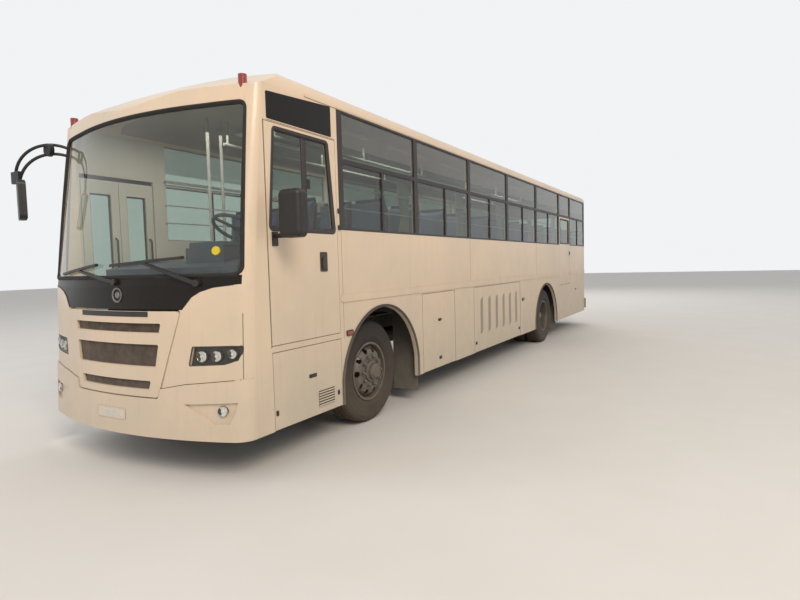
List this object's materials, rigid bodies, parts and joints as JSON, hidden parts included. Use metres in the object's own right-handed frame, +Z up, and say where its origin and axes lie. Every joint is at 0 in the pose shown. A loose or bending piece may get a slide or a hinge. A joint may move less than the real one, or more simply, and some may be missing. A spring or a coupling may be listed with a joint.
{
  "type": "coach bus",
  "caption": "Front-engined coach bus with opening doors, flaps and grille panel, steered front wheels, twin rear wheels and a seated cabin.",
  "frame": {"origin": "on the ground under the centreline, midway between the front and the rear of the bus", "axes": "+Z up, the front of the bus faces -Y, the driver's side (the bus's left) is +X"},
  "size_m": [3.125, 12.2737, 3.275],
  "materials": {
    "cream_paint": "satin, dusty",
    "cream_moulding": "satin gelcoat",
    "black_panel": "gloss",
    "clear_glass": "polished",
    "tinted_glass": "polished",
    "black_frame": "satin",
    "black_rubber": "matt",
    "tyre_rubber": "matt, dusty",
    "wheel_steel": "satin, dusty",
    "chassis_black": "satin, dusty",
    "lamp_plastic": "clear",
    "amber_plastic": "clear",
    "red_plastic": "clear",
    "grille_steel": "satin",
    "floor_ply": "matt",
    "seat_cloth": "woven",
    "curtain_cloth": "woven",
    "dash_plastic": "moulded",
    "rail_steel": "brushed",
    "mirror_plastic": "moulded",
    "tank_steel": "satin"
  },
  "bodies": {
    "coach": {"left_side": "cream_paint", "right_side": "cream_paint", "roof": "cream_paint", "roof_hatches": "cream_moulding", "front_cap": "cream_moulding", "mask_panel": "black_panel", "front_bumper": "cream_moulding", "rear_wall": "cream_paint", "rear_bumper": "cream_moulding", "floor": "floor_ply", "entry_steps": "floor_ply", "windscreen": "clear_glass", "window_glass": "tinted_glass", "window_frames": "black_frame", "front_lamps": "lamp_plastic", "marker_lamps": "amber_plastic", "tail_lamps": "red_plastic", "wipers": "black_frame", "arch_lips": "black_rubber", "chassis_frame": "chassis_black", "front_axle": "chassis_black", "rear_axle": "chassis_black", "drive_line": "chassis_black", "fuel_tank": "tank_steel", "exhaust": "tank_steel", "mud_flaps": "black_rubber", "seats": "seat_cloth", "driver_seat": "seat_cloth", "dashboard": "dash_plastic", "grab_rails": "rail_steel", "curtains": "curtain_cloth", "right_mirror": "mirror_plastic"},
    "driver_door": {"driver_door": "cream_paint", "driver_glass": "tinted_glass", "left_mirror": "mirror_plastic"},
    "escape_door": {"escape_door": "cream_paint", "escape_glass": "tinted_glass"},
    "entry_front": {"entry_leaf_front": "cream_paint", "entry_glass_front": "tinted_glass"},
    "entry_rear": {"entry_leaf_rear": "cream_paint", "entry_glass_rear": "tinted_glass"},
    "service_flap": {"service_flap": "cream_paint"},
    "battery_flap": {"battery_flap": "cream_paint"},
    "louvre_flap": {"louvre_flap": "cream_paint"},
    "locker_flap": {"locker_flap": "cream_paint"},
    "grille_flap": {"grille_panel": "cream_moulding", "grille_mesh": "grille_steel"},
    "knuckle_left": {"knuckle_left": "chassis_black"},
    "knuckle_right": {"knuckle_right": "chassis_black"},
    "wheel_front_left": {"tyre_front_left": "tyre_rubber", "rim_front_left": "wheel_steel"},
    "wheel_front_right": {"tyre_front_right": "tyre_rubber", "rim_front_right": "wheel_steel"},
    "wheels_rear_left": {"tyres_rear_left": "tyre_rubber", "rims_rear_left": "wheel_steel"},
    "wheels_rear_right": {"tyres_rear_right": "tyre_rubber", "rims_rear_right": "wheel_steel"},
    "steering_wheel": {"steering_wheel": "dash_plastic"}
  },
  "joints": [
    {"name": "driver_door_hinge", "type": "hinge", "parent": "coach", "child": "driver_door", "pos_m": [1.256, -5.589, 1.9], "axis": [0, 0, -1], "range_deg": [0, 75]},
    {"name": "escape_door_hinge", "type": "hinge", "parent": "coach", "child": "escape_door", "pos_m": [1.256, 3.368, 1.8], "axis": [0, 0, -1], "range_deg": [0, 90]},
    {"name": "entry_front_hinge", "type": "hinge", "parent": "coach", "child": "entry_front", "pos_m": [-1.208, -5.558, 1.5], "axis": [0, 0, -1], "range_deg": [0, 82]},
    {"name": "entry_rear_hinge", "type": "hinge", "parent": "entry_front", "child": "entry_rear", "pos_m": [-1.247, -5.156, 1.5], "axis": [0, 0, -1], "range_deg": [-164, 0]},
    {"name": "service_flap_hinge", "type": "hinge", "parent": "coach", "child": "service_flap", "pos_m": [1.256, -5.13, 0.952], "axis": [0, -1, 0], "range_deg": [0, 80]},
    {"name": "battery_flap_hinge", "type": "hinge", "parent": "coach", "child": "battery_flap", "pos_m": [1.262, -2.59, 1.265], "axis": [0, -1, 0], "range_deg": [0, 80]},
    {"name": "louvre_flap_hinge", "type": "hinge", "parent": "coach", "child": "louvre_flap", "pos_m": [1.262, -0.43, 1.265], "axis": [0, -1, 0], "range_deg": [0, 80]},
    {"name": "locker_flap_hinge", "type": "hinge", "parent": "coach", "child": "locker_flap", "pos_m": [-1.262, -2, 1.265], "axis": [0, 1, 0], "range_deg": [0, 80]},
    {"name": "grille_flap_hinge", "type": "hinge", "parent": "coach", "child": "grille_flap", "pos_m": [0, -6.05, 1.4], "axis": [-1, 0, 0], "range_deg": [0, 60]},
    {"name": "steer_left", "type": "hinge", "parent": "coach", "child": "knuckle_left", "pos_m": [0.83, -4.02, 0.525], "axis": [0, 0, 1], "range_deg": [-34, 34]},
    {"name": "steer_right", "type": "hinge", "parent": "coach", "child": "knuckle_right", "pos_m": [-0.83, -4.02, 0.525], "axis": [0, 0, 1], "range_deg": [-34, 34]},
    {"name": "steering_wheel_turn", "type": "hinge", "parent": "coach", "child": "steering_wheel", "pos_m": [0.64, -5.29, 1.96], "axis": [0, 0.5, 0.866], "range_deg": [-612, 612]},
    {"name": "wheel_front_left_spin", "type": "hinge", "parent": "knuckle_left", "child": "wheel_front_left", "pos_m": [1, -4.02, 0.525], "axis": [1, 0, 0], "continuous": true},
    {"name": "wheel_front_right_spin", "type": "hinge", "parent": "knuckle_right", "child": "wheel_front_right", "pos_m": [-1, -4.02, 0.525], "axis": [1, 0, 0], "continuous": true},
    {"name": "wheels_rear_left_spin", "type": "hinge", "parent": "coach", "child": "wheels_rear_left", "pos_m": [0.92, 2.23, 0.525], "axis": [1, 0, 0], "continuous": true},
    {"name": "wheels_rear_right_spin", "type": "hinge", "parent": "coach", "child": "wheels_rear_right", "pos_m": [-0.92, 2.23, 0.525], "axis": [1, 0, 0], "continuous": true}
  ],
  "couplings": [
    {"joint": "entry_rear_hinge", "follows": "entry_front_hinge", "ratio": -2},
    {"joint": "steer_right", "follows": "steer_left", "ratio": 1},
    {"joint": "steering_wheel_turn", "follows": "steer_left", "ratio": 18}
  ]
}
